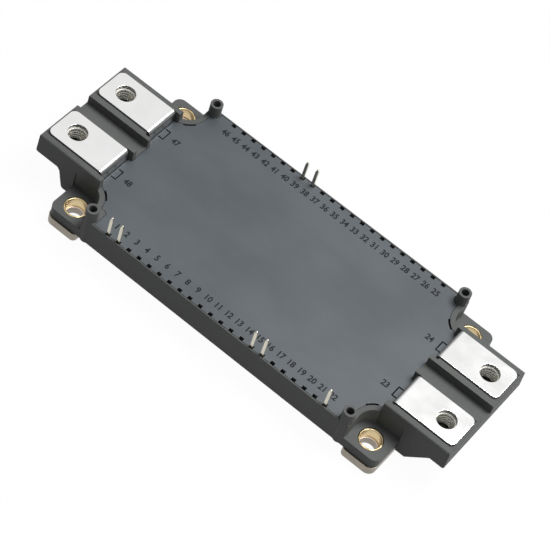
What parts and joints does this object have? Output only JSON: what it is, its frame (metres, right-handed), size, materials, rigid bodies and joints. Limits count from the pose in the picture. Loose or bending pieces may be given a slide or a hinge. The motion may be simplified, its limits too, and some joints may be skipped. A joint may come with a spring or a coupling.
{
  "type": "igbt module",
  "caption": "Low flat power transistor module with a metal base plate, screw terminals on blocks at both ends, flat control pins along its long sides and posts for a driver board.",
  "frame": {"origin": "middle of the mounting face, the underside of the base plate", "axes": "+X along the case towards its output terminals, +Y towards the row of places 25 to 46, +Z out of the mounting face through the lid"},
  "size_m": [0.152, 0.062, 0.0204],
  "materials": {
    "plate_nickel": "matt nickel plating over copper",
    "case_plastic": "glass-filled moulding plastic, near black, fine spark texture",
    "lid_plastic": "glass-filled moulding plastic, grey from its low sheen, fine texture",
    "bush_brass": "yellow-passivated metal bush",
    "terminal_plating": "bright plating on copper sheet",
    "nut_steel": "zinc-plated steel",
    "pin_tin": "bright tin plating",
    "bare_copper": "bare bonded copper",
    "ceramic_white": "sintered white ceramic",
    "chip_metal": "metallised silicon",
    "wire_aluminium": "drawn aluminium wire",
    "thermistor_body": "coated ceramic body"
  },
  "bodies": {
    "root": {"base_plate": "plate_nickel", "case_frame": "case_plastic", "lid": "lid_plastic", "bush_front_left": "bush_brass", "bush_front_right": "bush_brass", "bush_back_left": "bush_brass", "bush_back_right": "bush_brass", "terminal_front_left": "terminal_plating", "terminal_front_right": "terminal_plating", "terminal_back_left": "terminal_plating", "terminal_back_right": "terminal_plating", "nut_front_left": "nut_steel", "nut_front_right": "nut_steel", "nut_back_left": "nut_steel", "nut_back_right": "nut_steel", "control_pin_01": "pin_tin", "control_pin_02": "pin_tin", "control_pin_15": "pin_tin", "control_pin_16": "pin_tin", "control_pin_22": "pin_tin", "control_pin_38": "pin_tin", "control_pin_39": "pin_tin", "back_copper_left": "bare_copper", "back_copper_middle": "bare_copper", "back_copper_right": "bare_copper", "ceramic_left": "ceramic_white", "ceramic_middle": "ceramic_white", "ceramic_right": "ceramic_white", "copper_tracks_left": "bare_copper", "copper_tracks_middle": "bare_copper", "copper_tracks_right": "bare_copper", "igbt_high_left": "chip_metal", "igbt_high_middle": "chip_metal", "igbt_high_right": "chip_metal", "igbt_low_left": "chip_metal", "igbt_low_middle": "chip_metal", "igbt_low_right": "chip_metal", "diode_high_left": "chip_metal", "diode_high_middle": "chip_metal", "diode_high_right": "chip_metal", "diode_low_left": "chip_metal", "diode_low_middle": "chip_metal", "diode_low_right": "chip_metal", "bond_wires_left": "wire_aluminium", "bond_wires_middle": "wire_aluminium", "bond_wires_right": "wire_aluminium", "link_wires": "wire_aluminium", "terminal_wires": "wire_aluminium", "signal_wires": "wire_aluminium", "thermistor": "thermistor_body"}
  },
  "joints": []
}
